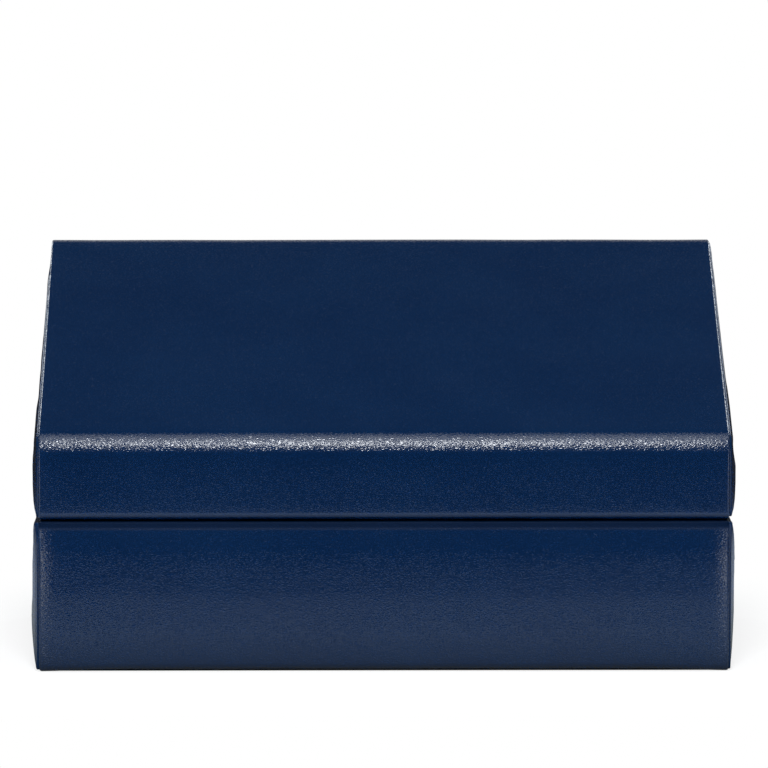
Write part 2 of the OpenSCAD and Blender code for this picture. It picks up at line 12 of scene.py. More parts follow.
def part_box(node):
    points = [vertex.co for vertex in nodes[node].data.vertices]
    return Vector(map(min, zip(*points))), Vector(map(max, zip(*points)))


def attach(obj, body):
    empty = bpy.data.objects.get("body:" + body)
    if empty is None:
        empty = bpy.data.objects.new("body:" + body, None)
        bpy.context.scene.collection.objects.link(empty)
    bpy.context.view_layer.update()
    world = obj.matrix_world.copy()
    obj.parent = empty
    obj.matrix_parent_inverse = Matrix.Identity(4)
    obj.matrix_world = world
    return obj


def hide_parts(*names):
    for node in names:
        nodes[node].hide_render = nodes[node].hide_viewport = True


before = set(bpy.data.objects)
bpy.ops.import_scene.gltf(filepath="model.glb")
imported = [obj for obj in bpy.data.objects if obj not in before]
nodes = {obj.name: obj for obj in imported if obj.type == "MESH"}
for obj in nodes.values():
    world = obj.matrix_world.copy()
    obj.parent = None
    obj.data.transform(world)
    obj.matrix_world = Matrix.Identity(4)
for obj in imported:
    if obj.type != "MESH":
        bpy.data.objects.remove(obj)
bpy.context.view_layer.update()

MM = 0.001
WELD = 2e-6  # points closer than this, in metres, are one point

# --- sizes, in mm ------------------------------------------------------------
CASE_FRONT, CASE_BACK, CASE_DEPTH = -86.575, 81.925, 168.5
WRAP_X, SIDE_X, IN_X, LIN_X = 140.0, 138.0, 133.0, 131.8
LEATHER, BACK_LEATHER, TURN, BOARD, LINING = 1.6, 1.4, 0.85, 5.0, 1.2
BASE_LOW, BASE_TOP, LID_LOW = 0.8, 61.85, 62.15
WOOD_TOP, WOOD_LOW, FOOT_Z, FLOOR_Z, PAD_Z = 61.0, 63.0, 1.65, 5.65, 6.85
NOSE_Z, SLOPE = 95.4, math.radians(22)
LIP, SIDE_LIP = 12.0, 4.0
CORE_Y, BOARD_Y = -83.675, -78.675
LINING_Y0, LINING_Y1 = -77.475, 74.325
BACK_BOARD_Y = 75.525
PAD_FOOT, PAD_CROWN = 2.0, 4.0
HINGE_X, HINGE_W, LEAF_Y = 86.0, 34.0, 75.925
MIRROR_W, MIRROR_S, FRAME_W = 132.0, 14.0, 8.0
POCKET_END, POCKET_GAP, POCKET_L, POCKET_SIDE = 3.0, 3.0, 34.0, 8.0
TRAY_IN_X, TRAY_IN_Y0, TRAY_IN_Y1 = 128.0, -73.675, 70.525
TRAY_FLOOR, TRAY_TOP = 39.05, 58.55
COLUMN_X, ROLLS, ROLL_R = 44.0, 10, 7.06
TAB_W, TAB_T, TAB_H, TAB_IN, TAB_Y = 14.0, 1.2, 9.0, 10.0, -8.575


# --- outlines in the side plane, as (y, z) -----------------------------------
def unit(v):
    return v / np.linalg.norm(v)


def clamped(v):
    return min(1.0, max(0.0, v))


def left_of(v):
    return np.array([-v[1], v[0]])


def turned(v, angle):
    c, s = math.cos(angle), math.sin(angle)
    return np.array([v[0] * c - v[1] * s, v[0] * s + v[1] * c])


def inset(points, depths):
    """The outline with every edge moved inward by its own depth."""
    depths = np.broadcast_to(np.asarray(depths, float), len(points))
    out = []
    for i, b in enumerate(points):
        before, after = unit(b - points[i - 1]), unit(points[(i + 1) % len(points)] - b)
        m, n = left_of(before), left_of(after)
        d1, d2, k = depths[i - 1], depths[i], float(left_of(before) @ left_of(after))
        if 1 - k * k < 1e-4:
            out.append(b + (d1 + d2) / 2 * (m + n) / (1 + k))
        else:
            out.append(b + ((d1 - k * d2) * m + (d2 - k * d1) * n) / (1 - k * k))
    return np.array(out)


def corner(points, i, r, steps):
    """The points round one corner; a sharp corner gives the same point each time."""
    a, b, c = points[i - 1], points[i], points[(i + 1) % len(points)]
    if r < 0.05:
        return np.repeat(b[None], steps + 1, axis=0)
    u, v = unit(b - a), unit(c - b)
    w = math.acos(max(-1.0, min(1.0, float(u @ v))))
    centre = b - u * r * math.tan(w / 2) + left_of(u) * r
    return np.array([centre + turned(-left_of(u) * r, w * k / steps) for k in range(steps + 1)])


def eased(points, i, reach, steps):
    """The points of a corner drawn as a soft bend that starts reach mm away from it on both sides."""
    a, b, c = points[i - 1], points[i], points[(i + 1) % len(points)]
    start, end = b + unit(a - b) * reach, b + unit(c - b) * reach
    stations = np.linspace(0, 1, steps + 1)
    return np.array([start * (1 - t) ** 2 + b * 2 * t * (1 - t) + end * t * t for t in stations])


def filled(face, back, gap):
    """Two matching chains of points, with more points where the first one has long straights."""
    f, b = [face[0]], [back[0]]
    for i in range(1, len(face)):
        n = max(1, math.ceil(np.linalg.norm(face[i] - face[i - 1]) / gap))
        for k in range(1, n + 1):
            f.append(face[i - 1] + (face[i] - face[i - 1]) * k / n)
            b.append(back[i - 1] + (back[i] - back[i - 1]) * k / n)
    return np.array(f), np.array(b)


def ring_of(points, radii, straights, steps=8):
    """A closed rounded outline; every side has its own fixed number of steps, so rings match each other."""
    out = []
    for i in range(len(points)):
        after = (i + 1) % len(points)
        arc = corner(points, i, radii[i], steps)
        following = corner(points, after, radii[after], steps)[0]
        out.extend(arc)
        out.extend(arc[-1] + (following - arc[-1]) * k / straights[i] for k in range(1, straights[i]))
    return np.array(out)


def on_slope(y):
    return NOSE_Z + (y - CASE_FRONT) * math.tan(SLOPE)


lid_outline = np.array(
    [[CASE_FRONT + 1.2, LID_LOW], [CASE_BACK, LID_LOW], [CASE_BACK, on_slope(CASE_BACK)], [CASE_FRONT, NOSE_Z]]
)
lid_core = inset(lid_outline, [TURN, BACK_LEATHER, LEATHER, LEATHER])
lid_boards = inset(lid_core, [0, BOARD, BOARD, BOARD])
lid_room = inset(lid_boards, [0, LINING, LINING, LINING])
base_span = BASE_TOP - BASE_LOW
base_outline = np.array(
    [
        [CASE_FRONT + 1.0, BASE_LOW],
        [CASE_BACK, BASE_LOW],
        [CASE_BACK, BASE_TOP],
        [CASE_FRONT + 1.3, BASE_TOP],
        [CASE_FRONT + 0.26, BASE_LOW + 0.74 * base_span],
        [CASE_FRONT, BASE_LOW + 0.5 * base_span],
        [CASE_FRONT + 0.195, BASE_LOW + 0.26 * base_span],
    ]
)
core_back = CASE_BACK - BACK_LEATHER
base_core = np.array([[CORE_Y, FOOT_Z], [core_back, FOOT_Z], [core_back, WOOD_TOP], [CORE_Y, WOOD_TOP]])
slant_start = lid_room[3]
slant_length = float(np.linalg.norm(lid_room[2] - lid_room[3]))
pocket_s = slant_length - POCKET_END - POCKET_L
mirror_l = pocket_s - POCKET_GAP - 2 * FRAME_W - MIRROR_S


def from_slant(x, s, depth):
    """A point on the inside of the slanted lid: s up the slope, depth off the lining into the lid."""
    c, w = math.cos(SLOPE), math.sin(SLOPE)
    return (x, slant_start[0] + s * c + depth * w, slant_start[1] + s * w - depth * c)


# --- meshes ------------------------------------------------------------------
def ripple(p, size, depth, seed=0.0):
    """Slow unevenness of a covered board; p is in mm."""
    return depth * field.noise(Vector((p[0] / size + seed, p[1] / size, p[2] / size)))


def new_object(name, data):
    obj = bpy.data.objects.new(name, data)
    bpy.context.scene.collection.objects.link(obj)
    return obj


def finished_mesh(name, points, faces, sharp=50.0):
    mesh = bpy.data.meshes.new(name)
    mesh.from_pydata([tuple(p) for p in np.asarray(points) * MM], [], faces)
    bm = bmesh.new()
    bm.from_mesh(mesh)
    bmesh.ops.remove_doubles(bm, verts=bm.verts, dist=WELD)
    bmesh.ops.recalc_face_normals(bm, faces=bm.faces)
    bm.to_mesh(mesh)
    bm.free()
    mesh.shade_smooth()
    mesh.set_sharp_from_angle(angle=math.radians(sharp))
    return new_object(name, mesh)


def grid_faces(rows, cols, round_rows=False, round_cols=False, start=0):
    out = []
    for r in range(rows if round_rows else rows - 1):
        for c in range(cols if round_cols else cols - 1):
            a, b = start + r * cols + c, start + r * cols + (c + 1) % cols
            s = (r + 1) % rows
            out.append((a, b, start + s * cols + (c + 1) % cols, start + s * cols + c))
    return out


def lofted(name, rows, round_rows=False, sharp=50.0):
    """A skin through closed rings of points, capped at both ends unless the rings go round."""
    rows = np.asarray(rows, float)
    count, cols = rows.shape[:2]
    faces = grid_faces(count, cols, round_rows, True)
    if not round_rows:
        faces.append(tuple(range(cols)))
        faces.append(tuple((count - 1) * cols + k for k in range(cols)))
    return finished_mesh(name, rows.reshape(-1, 3), faces, sharp)


def wrapped_sheet(name, face, back, low, high, place, roll, wave=0.12, closed=False):
    """A covering between its face chain and its back chain, run from low to high, with rolled ends.
    place(along, point) gives a point of the sheet in the case's frame."""
    apart, thinnest, bends = 6.0, 0.62, np.linspace(0, math.pi / 2, 7)
    n = len(face)
    ahead = np.roll(face, -1, axis=0) if closed else np.vstack([face[1:], face[-1:] * 2 - face[-2:-1]])
    behind = np.roll(face, 1, axis=0) if closed else np.vstack([face[:1] * 2 - face[1:2], face[:-1]])
    run = ahead - behind
    out = np.column_stack([run[:, 1], -run[:, 0]]) / np.maximum(np.linalg.norm(run, axis=1), 1e-9)[:, None]
    thick = np.linalg.norm(back - face, axis=1)
    turn = [(roll * (1 - math.sin(a)), roll * (1 - math.cos(a))) for a in bends]
    inner = np.linspace(low + roll, high - roll, max(2, round((high - low) / apart)))
    stations = [(low + s, d) for s, d in reversed(turn)]
    stations += [(x, 0.0) for x in inner[1:-1]] + [(high - s, d) for s, d in turn]
    rows = []
    for along, depth in stations:
        share = np.minimum(depth / np.maximum(thick, 1e-6), thinnest)
        line = face + (back - face) * share[:, None]
        middle = [place(along, p) for p in line]
        puff = np.array([ripple(p, 34.0, wave) + ripple(p, 11.0, wave * 0.25, 7.3) for p in middle])
        line = line + out * puff[:, None]
        rows.append([place(along, p) for p in np.vstack([line, back[::-1]])])
    rows = np.array(rows)
    cols = 2 * n
    if closed:
        faces = grid_faces(len(rows), n, False, True)
        faces = [tuple(r // n * cols + r % n for r in f) for f in faces]
        faces += [tuple((r // cols) * cols + cols - 1 - r % cols for r in f) for f in faces]
        ends = [(k, (k + 1) % n, cols - 1 - (k + 1) % n, cols - 1 - k) for k in range(n)]
    else:
        faces = grid_faces(len(rows), cols, False, True)
        ends = [(k, k + 1, cols - 2 - k, cols - 1 - k) for k in range(n - 1)]
    last = (len(rows) - 1) * cols
    faces += ends + [tuple(last + k for k in f) for f in ends]
    return finished_mesh(name, rows.reshape(-1, 3), faces)


def across(along, p):
    return (along, p[0], p[1])


def standing(along, p):
    """As across, with the foot drawn down to the table near the two ends, and the face eased back there."""
    ends = clamped((abs(along) - 100.0) / 36.0) ** 2
    back = 0.85 * max(0.0, (abs(along) - 131.5) / 8.5) ** 2 * clamped((CORE_Y - p[0]) / 1.5)
    return (along, p[0] + back, p[1] - 0.72 * ends * clamped((8.0 - p[1]) / 6.0))


def upright(along, p):
    return (p[0], p[1], along)


def cut_out(obj, blocks):
    """Takes boxes, each two opposite corners in mm, out of a closed piece."""
    for low, high in blocks:
        bm = bmesh.new()
        bmesh.ops.create_cube(bm, size=1.0)
        for v in bm.verts:
            v.co = Vector([(low[k] + (high[k] - low[k]) * (v.co[k] + 0.5)) * MM for k in range(3)])
        mesh = bpy.data.meshes.new("cutter")
        bm.to_mesh(mesh)
        bm.free()
        cutter = new_object("cutter", mesh)
        cut = obj.modifiers.new("cut", "BOOLEAN")
        cut.operation, cut.solver, cut.object = "DIFFERENCE", "EXACT", cutter
        bpy.context.view_layer.update()
        made = bpy.data.meshes.new_from_object(obj.evaluated_get(bpy.context.evaluated_depsgraph_get()))
        obj.modifiers.clear()
        obj.data = made
        bpy.data.objects.remove(cutter)
    obj.data.shade_smooth()
    obj.data.set_sharp_from_angle(angle=math.radians(50))


def slab(name, low, high, edge):
    """A covered strip: a box with rounded edges and a little unevenness."""
    wave, apart = 0.06, 5.0
    low, high = np.array(low, float), np.array(high, float)
    bm = bmesh.new()
    bmesh.ops.create_cube(bm, size=1.0)
    for v in bm.verts:
        v.co = Vector([low[k] + (high[k] - low[k]) * (v.co[k] + 0.5) for k in range(3)])
    for k in range(3):
        n = int((high[k] - low[k]) // apart)
        for i in range(1, n):
            at = low[k] + (high[k] - low[k]) * i / n
            normal = [1.0 if j == k else 0.0 for j in range(3)]
            whole = bm.verts[:] + bm.edges[:] + bm.faces[:]
            bmesh.ops.bisect_plane(bm, geom=whole, plane_co=[at] * 3, plane_no=normal)
    sharp = [e for e in bm.edges if e.calc_face_angle(0) > 1.0]
    bmesh.ops.bevel(bm, geom=sharp, offset=edge, segments=3, profile=0.5, affect="EDGES")
    bm.normal_update()
    for v in bm.verts:
        v.co += v.normal * (ripple(v.co, 18.0, wave) - wave * 0.5)
    points, faces = [v.co[:] for v in bm.verts], [[v.index for v in f.verts] for f in bm.faces]
    bm.free()
    return finished_mesh(name, points, faces, 60.0)


def corner_turns(points, radii, softer, depth):
    """The corner radii of a ring: softer than the outline's with depth, but never more than the ring has room for."""
    least, easing, room = 0.9, 2.0, 0.45
    turns = []
    for i, (r, more) in enumerate(zip(radii, softer)):
        into, out = points[i - 1] - points[i], points[(i + 1) % len(points)] - points[i]
        long_in, long_out = np.linalg.norm(into), np.linalg.norm(out)
        half = math.acos(into @ out / (long_in * long_out)) / 2
        most = room * min(long_in, long_out) * math.tan(half)
        turns.append(min(max(r - depth, least) + more * (1 - math.exp(-depth / easing)), most))
    return turns


def crowned_panel(
    name, outline, radii, foot, side, depths, heights, middle, top, wave=0.1, softer=(0, 0, 0, 0), drop=0.0, fuller=None
):
    """A stuffed panel on a flat board: rings that shrink from the outline and rise to its crown.
    softer adds to the corner radii, drop lowers the foot, fuller is the share of the crown over the height."""
    apart, crown_rings, flat_top = 4.0, (0.85, 0.7, 0.55, 0.4, 0.25, 0.12), 0.45
    ahead = np.roll(outline, -1, axis=0)
    sides = [max(2, round(np.linalg.norm(b - a) / apart)) for a, b in zip(outline, ahead)]

    def ring(depth):
        points = inset(outline, depth)
        line = ring_of(points, corner_turns(points, radii, softer, depth), sides)
        line[:, 1] -= drop * np.clip((8.0 - line[:, 1]) / 6.0, 0.0, 1.0)
        return line

    rows = [[(side * foot, *p) for p in ring(0.0)]]
    for depth, height in zip(depths, heights):
        rows.append([(side * (foot + height), *p) for p in ring(depth)])
    edge = ring(depths[-1])
    for k in crown_rings:
        height = top - (top - heights[-1]) * max(0.0, (k - flat_top) / (1 - flat_top)) ** 2
        rows.append([(side * (foot + height), *(middle + (p - middle) * k)) for p in edge])
    rows = np.array(rows)
    if fuller:
        crown = side * rows[1:, :, 0] - foot - PAD_FOOT
        rows[1:, :, 0] = side * (foot + PAD_FOOT + crown * np.interp(rows[1:, :, 2], *fuller))
    for r in range(2, len(rows)):
        free = min(1.0, (r - 1) / 5)
        for p in rows[r]:
            p[0] += side * free * (ripple(p, 40.0, wave, 3.1) + ripple(p, 9.0, wave * 0.25, 5.7))
    return lofted(name, rows)


def plump(obj, held, pressure, cap):
    """Swells a stuffed piece with cloth under pressure, its held points fixed and no point moved past cap mm."""
    last_frame = 20
    start = np.array([v.co[:] for v in obj.data.vertices])
    cloth = obj.modifiers.new("swell", "CLOTH")
    if held:
        obj.vertex_groups.new(name="held").add(held, 1.0, "REPLACE")
        cloth.settings.vertex_group_mass = "held"
    cloth.settings.use_pressure = True
    cloth.settings.uniform_pressure_force = pressure
    cloth.settings.effector_weights.gravity = 0
    cloth.settings.tension_stiffness = cloth.settings.compression_stiffness = 15.0
    cloth.settings.bending_stiffness = 0.5
    cloth.collision_settings.use_collision = False
    cloth.point_cache.frame_start, cloth.point_cache.frame_end = 1, last_frame
    for at in range(1, last_frame + 1):
        bpy.context.scene.frame_set(at)
    moved = obj.evaluated_get(bpy.context.evaluated_depsgraph_get()).data
    step = np.array([v.co[:] for v in moved.vertices]) - start
    far = np.linalg.norm(step, axis=1)
    step *= np.minimum(1.0, cap * MM / np.maximum(far, 1e-9))[:, None]
    obj.modifiers.clear()
    obj.vertex_groups.clear()
    for v, p in zip(obj.data.vertices, start + step):
        v.co = p
    bpy.context.scene.frame_set(1)


def near_board(obj, reach, side):
    """Indices of the points of a side panel that are no further out than reach mm."""
    return [v.index for v in obj.data.vertices if side * v.co[0] / MM <= reach]


# --- material groups ---------------------------------------------------------
def add(tree, kind, inputs=None, **settings):
    node = tree.nodes.new(kind)
    for key, value in settings.items():
        setattr(node, key, value)
    for key, value in (inputs or {}).items():
        if isinstance(value, bpy.types.NodeSocket):
            tree.links.new(value, node.inputs[key])
        else:
            node.inputs[key].default_value = value
    return node


def new_group(name, inputs, outputs):
    tree = bpy.data.node_groups.new(name, "ShaderNodeTree")
    kinds = {"F": "NodeSocketFloat", "C": "NodeSocketColor", "V": "NodeSocketVector"}
    for key, kind, value in inputs:
        tree.interface.new_socket(key, in_out="INPUT", socket_type=kinds[kind]).default_value = value
    for key, kind in outputs:
        tree.interface.new_socket(key, in_out="OUTPUT", socket_type=kinds[kind])
    return tree, tree.nodes.new("NodeGroupInput").outputs, tree.nodes.new("NodeGroupOutput").inputs


def maths(tree, operation, *values):
    return add(tree, "ShaderNodeMath", dict(enumerate(values)), operation=operation).outputs[0]


def vectors(tree, operation, *values):
    return add(tree, "ShaderNodeVectorMath", dict(enumerate(values)), operation=operation).outputs


def own_place(tree):
    return add(tree, "ShaderNodeTexCoord").outputs["Object"]


def parts(tree, vector):
    return add(tree, "ShaderNodeSeparateXYZ", {0: vector}).outputs


def clouds(tree, place, scale, detail, **settings):
    return add(tree, "ShaderNodeTexNoise", {"Vector": place, "Scale": scale, "Detail": detail, **settings}).outputs


def ramp(tree, value, low, high, to_low=0.0, to_high=1.0):
    """A smooth step of value from low to high."""
    names = {"Value": value, "From Min": low, "From Max": high, "To Min": to_low, "To Max": to_high}
    return add(tree, "ShaderNodeMapRange", names, interpolation_type="SMOOTHSTEP").outputs["Result"]


def mixed(tree, factor, a, b):
    node = tree.nodes.new("ShaderNodeMix")
    node.data_type = "RGBA"
    for socket, value in ((node.inputs[0], factor), (node.inputs[6], a), (node.inputs[7], b)):
        if isinstance(value, bpy.types.NodeSocket):
            tree.links.new(value, socket)
        else:
            socket.default_value = value
    return node.outputs[2]


def grain_group():
    """Pebbled leather: rounded cells of a given size in metres, with creases between them."""
    tree, given, out = new_group(
        "Pebble grain", [("Cell", "F", 0.0007), ("Creases", "F", 0.5)], [("Height", "F"), ("Valley", "F")]
    )
    place = vectors(tree, "MULTIPLY", own_place(tree), (0.62, 1.0, 1.0))[0]
    scale = maths(tree, "DIVIDE", 1.0, given["Cell"])
    bend = clouds(tree, place, maths(tree, "MULTIPLY", scale, 0.6), 1.0)["Color"]
    spot = vectors(tree, "ADD", place, vectors(tree, "MULTIPLY", bend, (0.0006, 0.0006, 0.0006))[0])[0]
    cells = add(tree, "ShaderNodeTexVoronoi", {"Vector": spot, "Scale": scale}, feature="DISTANCE_TO_EDGE")
    small = clouds(tree, place, maths(tree, "MULTIPLY", scale, 1.7), 2.0)[0]
    dome = ramp(tree, cells.outputs["Distance"], 0.0, 0.42)
    high = maths(tree, "MULTIPLY_ADD", small, 0.35, dome)
    crease = clouds(tree, place, 160.0, 3.0, Distortion=0.6)[0]
    lines = ramp(tree, maths(tree, "ABSOLUTE", maths(tree, "SUBTRACT", crease, 0.5)), 0.0, 0.03)
    drop = maths(tree, "MULTIPLY", maths(tree, "SUBTRACT", 1.0, lines), given["Creases"])
    tree.links.new(maths(tree, "SUBTRACT", high, drop), out["Height"])
    tree.links.new(maths(tree, "SUBTRACT", 1.0, dome), out["Valley"])
    return tree


def tone_group():
    """Slow drift of a colour between two tones over a surface."""
    black = (0, 0, 0, 1)
    tree, given, out = new_group(
        "Tone drift",
        [("Tone", "C", black), ("Other tone", "C", black), ("Patch", "F", 0.03), ("Amount", "F", 0.5)],
        [("Color", "C"), ("Drift", "F")],
    )
    cloud = clouds(tree, own_place(tree), maths(tree, "DIVIDE", 1.0, given["Patch"]), 4.0, Roughness=0.55)[0]
    drift = maths(tree, "MULTIPLY", ramp(tree, cloud, 0.3, 0.7), given["Amount"])
    tree.links.new(mixed(tree, drift, given["Tone"], given["Other tone"]), out["Color"])
    tree.links.new(drift, out["Drift"])
    return tree


def rubbed_group():
    """Where edges and folds have been handled: 1 on the sharpest of them, 0 on the flat."""
    tree, given, out = new_group("Rubbed edges", [("Start", "F", 0.52), ("Full", "F", 0.62)], [("Mask", "F")])
    point = add(tree, "ShaderNodeNewGeometry").outputs["Pointiness"]
    broken = clouds(tree, own_place(tree), 350.0, 3.0)[0]
    edge = ramp(tree, point, given["Start"], given["Full"])
    tree.links.new(maths(tree, "MULTIPLY", edge, ramp(tree, broken, 0.3, 0.6)), out["Mask"])
    return tree


def bend_group():
    """Where a covering is drawn round a bend: 1 on the nose of the lid, some on its ridge, 0 on flat panels."""
    tree, _, out = new_group("Drawn bends", [], [("Mask", "F")])
    facing = parts(tree, add(tree, "ShaderNodeTexCoord").outputs["Normal"])
    off_wall = ramp(tree, facing["Z"], 0.03, 0.22)
    nose = ramp(tree, facing["Z"], 0.80, 0.91, 1.0, 0.0)
    ridge = ramp(tree, facing["Y"], -0.36, -0.20, 0.0, 0.25)
    tree.links.new(maths(tree, "MULTIPLY", off_wall, maths(tree, "MAXIMUM", nose, ridge)), out["Mask"])
    return tree


def nap_group():
    """Short pile of suede cloth: fine fibres, and brushed patches that lie the other way."""
    tree, given, out = new_group("Suede nap", [("Fibre", "F", 0.0003)], [("Height", "F"), ("Lay", "F")])
    place = own_place(tree)
    fibre = clouds(tree, place, maths(tree, "DIVIDE", 1.0, given["Fibre"]), 3.0)[0]
    patch = clouds(tree, place, 45.0, 5.0, Distortion=1.4)[0]
    tree.links.new(fibre, out["Height"])
    tree.links.new(ramp(tree, patch, 0.38, 0.62), out["Lay"])
    return tree


def brushed_group():
    """Fine polishing marks, stretched along X, for metal and glass."""
    tree, given, out = new_group(
        "Polish marks", [("Stretch", "F", 12.0), ("Mark", "F", 0.0002)], [("Height", "F"), ("Haze", "F")]
    )
    place = own_place(tree)
    long = add(tree, "ShaderNodeCombineXYZ", {"X": maths(tree, "DIVIDE", 1.0, given["Stretch"]), "Y": 1.0, "Z": 1.0})
    spot = vectors(tree, "MULTIPLY", place, long.outputs[0])[0]
    mark = clouds(tree, spot, maths(tree, "DIVIDE", 1.0, given["Mark"]), 2.0)[0]
    haze = clouds(tree, place, 60.0, 4.0)[0]
    tree.links.new(mark, out["Height"])
    tree.links.new(ramp(tree, haze, 0.35, 0.65), out["Haze"])
    return tree


GRAIN, TONE, RUBBED, BENDS = grain_group(), tone_group(), rubbed_group(), bend_group()
NAP, POLISH = nap_group(), brushed_group()


def placed(tree, group, **inputs):
    node = tree.nodes.new("ShaderNodeGroup")
    node.node_tree = group
    for key, value in inputs.items():
        socket = node.inputs[key.replace("_", " ")]
        if isinstance(value, bpy.types.NodeSocket):
            tree.links.new(value, socket)
        else:
            socket.default_value = value
    return node.outputs


def new_material(name, **constants):
    mat = bpy.data.materials.new(name)
    mat.use_nodes = True
    tree = mat.node_tree
    shader = tree.nodes["Principled BSDF"]
    for key, value in constants.items():
        shader.inputs[key.replace("_", " ")].default_value = value
    return mat, tree, shader


def surface(tree, shader, colour, rough):
    tree.links.new(colour, shader.inputs["Base Color"])
    tree.links.new(rough, shader.inputs["Roughness"])


def bumped(tree, shader, height, strength, distance):
    bump = add(tree, "ShaderNodeBump", {"Height": height, "Strength": strength, "Distance": distance})
    tree.links.new(bump.outputs[0], shader.inputs["Normal"])


def scaled(tone, share):
    """A colour times a share, held to 1."""
    return tuple(min(1.0, c * share) for c in tone[:3]) + (1,)


def leather_material(
    name, tones, rough, cell=0.00082, depth=0.00003, specular=0.5, ior=1.46, open_grain=None, painted_shade_above=None
):
    """Grained leather of a tone, another tone and a worn tone. open_grain is the depth of the grain on bends, and the
    last argument holds two heights between which painted shade comes in at the top edge: a darker colour and less
    shine."""
    tone, other, worn = tones
    mat, tree, shader = new_material(name, IOR=ior, Specular_IOR_Level=specular, Sheen_Weight=0.0)
    grain = placed(tree, GRAIN, Cell=cell, Creases=0.25)
    drift = placed(tree, TONE, Tone=tone, Other_tone=other, Patch=0.045, Amount=0.8)
    rub = placed(tree, RUBBED)
    # Painted shade: the valleys of the grain are darkened in colour.
    valley_shade = maths(tree, "MULTIPLY", grain["Valley"], 0.45)
    colour = mixed(tree, valley_shade, drift["Color"], scaled(tone, 0.45))
    colour = mixed(tree, maths(tree, "MULTIPLY", rub["Mask"], 0.35), colour, worn)
    wet = maths(tree, "MULTIPLY_ADD", grain["Valley"], 0.03, rough)
    wet = maths(tree, "MULTIPLY_ADD", drift["Drift"], 0.02, wet)
    relief = depth
    if open_grain:
        bend = placed(tree, BENDS)["Mask"]
        relief = maths(tree, "MULTIPLY_ADD", bend, open_grain - depth, depth)
        wet = maths(tree, "MULTIPLY_ADD", bend, 0.07, wet)
    # Painted shade: a band at the top edge of the base is darkened and loses its shine, standing for the shade under
    # the lid.
    if painted_shade_above:
        top_shade_mask = ramp(tree, parts(tree, own_place(tree))["Z"], *painted_shade_above)
        colour = mixed(tree, maths(tree, "MULTIPLY", top_shade_mask, 0.6), colour, (0.0012, 0.004, 0.012, 1))
        wet = maths(tree, "MULTIPLY_ADD", top_shade_mask, 0.4, wet)
        tree.links.new(ramp(tree, top_shade_mask, 0.0, 1.0, specular, specular * 0.1), shader.inputs["Specular IOR Level"])
    surface(tree, shader, colour, wet)
    bumped(tree, shader, grain["Height"], 1.0, relief)
    return mat


def suede_material(name, tone, other):
    mat, tree, shader = new_material(name, Sheen_Weight=0.35, Sheen_Roughness=0.4, Specular_IOR_Level=0.2)
    nap = placed(tree, NAP)
    drift = placed(tree, TONE, Tone=tone, Other_tone=other, Patch=0.02, Amount=0.6)
    colour = mixed(tree, maths(tree, "MULTIPLY", nap["Lay"], 0.35), drift["Color"], scaled(tone, 0.72))
    colour = mixed(tree, maths(tree, "MULTIPLY", nap["Height"], 0.4), colour, scaled(tone, 1.25))
    surface(tree, shader, colour, maths(tree, "MULTIPLY_ADD", nap["Lay"], 0.1, 0.85))
    bumped(tree, shader, nap["Height"], 0.6, 0.00012)
    return mat


def metal_material(name, tone, other, rough):
    mat, tree, shader = new_material(name, Metallic=1.0)
    polish = placed(tree, POLISH)
    rub = placed(tree, RUBBED)
    colour = mixed(tree, maths(tree, "MULTIPLY", polish["Haze"], 0.6), tone, other)
    colour = mixed(tree, maths(tree, "MULTIPLY", rub["Mask"], 0.4), colour, scaled(tone, 1.15))
    surface(tree, shader, colour, maths(tree, "MULTIPLY_ADD", polish["Haze"], 0.12, rough))
    bumped(tree, shader, polish["Height"], 0.25, 0.00001)
    return mat


def board_material(name, tone, other):
    mat, tree, shader = new_material(name, Specular_IOR_Level=0.2)
    nap = placed(tree, NAP, Fibre=0.0006)
    drift = placed(tree, TONE, Tone=tone, Other_tone=other, Patch=0.008, Amount=0.8)
    surface(tree, shader, drift["Color"], maths(tree, "MULTIPLY_ADD", nap["Height"], 0.2, 0.7))
    bumped(tree, shader, nap["Height"], 0.5, 0.0001)
    return mat


def mirror_material(name):
    mat, tree, shader = new_material(name, Metallic=1.0)
    polish = placed(tree, POLISH, Stretch=2.0, Mark=0.0008)
    colour = mixed(tree, polish["Haze"], (0.86, 0.885, 0.89, 1), (0.875, 0.89, 0.89, 1))
    surface(tree, shader, colour, maths(tree, "MULTIPLY_ADD", polish["Haze"], 0.002, 0.001))
    return mat


NAVY = (0.0008, 0.0131, 0.0492, 1), (0.0012, 0.0158, 0.056, 1), (0.02, 0.05, 0.11, 1)
SOFT_NAVY = (0.006, 0.019, 0.052, 1), (0.009, 0.025, 0.062, 1), (0.06, 0.09, 0.16, 1)
navy = leather_material("Navy calf leather", NAVY, 0.147, depth=0.000025, open_grain=0.00007)
navy_front = leather_material("Navy calf leather of the base", NAVY, 0.147, depth=0.00004, painted_shade_above=(0.0574, 0.0597))
navy_side = leather_material("Navy leather over padding", NAVY, 0.13, depth=0.000016, specular=0.4, ior=1.22)
navy_soft = leather_material("Navy leather turned edge", SOFT_NAVY, 0.46, cell=0.0007)
suede = suede_material("Grey suede lining", (0.235, 0.245, 0.27, 1), (0.30, 0.31, 0.335, 1))
suede_pale = suede_material("Pale suede cushion", (0.33, 0.34, 0.365, 1), (0.40, 0.41, 0.43, 1))
cover = suede_material("Dark underside cloth", (0.012, 0.016, 0.028, 1), (0.02, 0.024, 0.036, 1))
fibreboard = board_material("Fibreboard", (0.30, 0.21, 0.13, 1), (0.38, 0.28, 0.18, 1))
brass = metal_material("Satin pale brass", (0.83, 0.70, 0.42, 1), (0.76, 0.62, 0.36, 1), 0.24)
nickel = metal_material("Nickel magnet", (0.62, 0.61, 0.60, 1), (0.52, 0.52, 0.52, 1), 0.3)
mirror = mirror_material("Mirror silver")
thread = suede_material("Navy sewing thread", (0.02, 0.045, 0.10, 1), (0.03, 0.06, 0.13, 1))


def settle(obj, material, body, *replaced):
    """Gives a piece its finish, the body it moves with and the frame parts it stands for."""
    obj.data.materials.clear()
    obj.data.materials.append(material)
    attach(obj, body)
    if replaced:
        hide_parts(*replaced)
    return obj


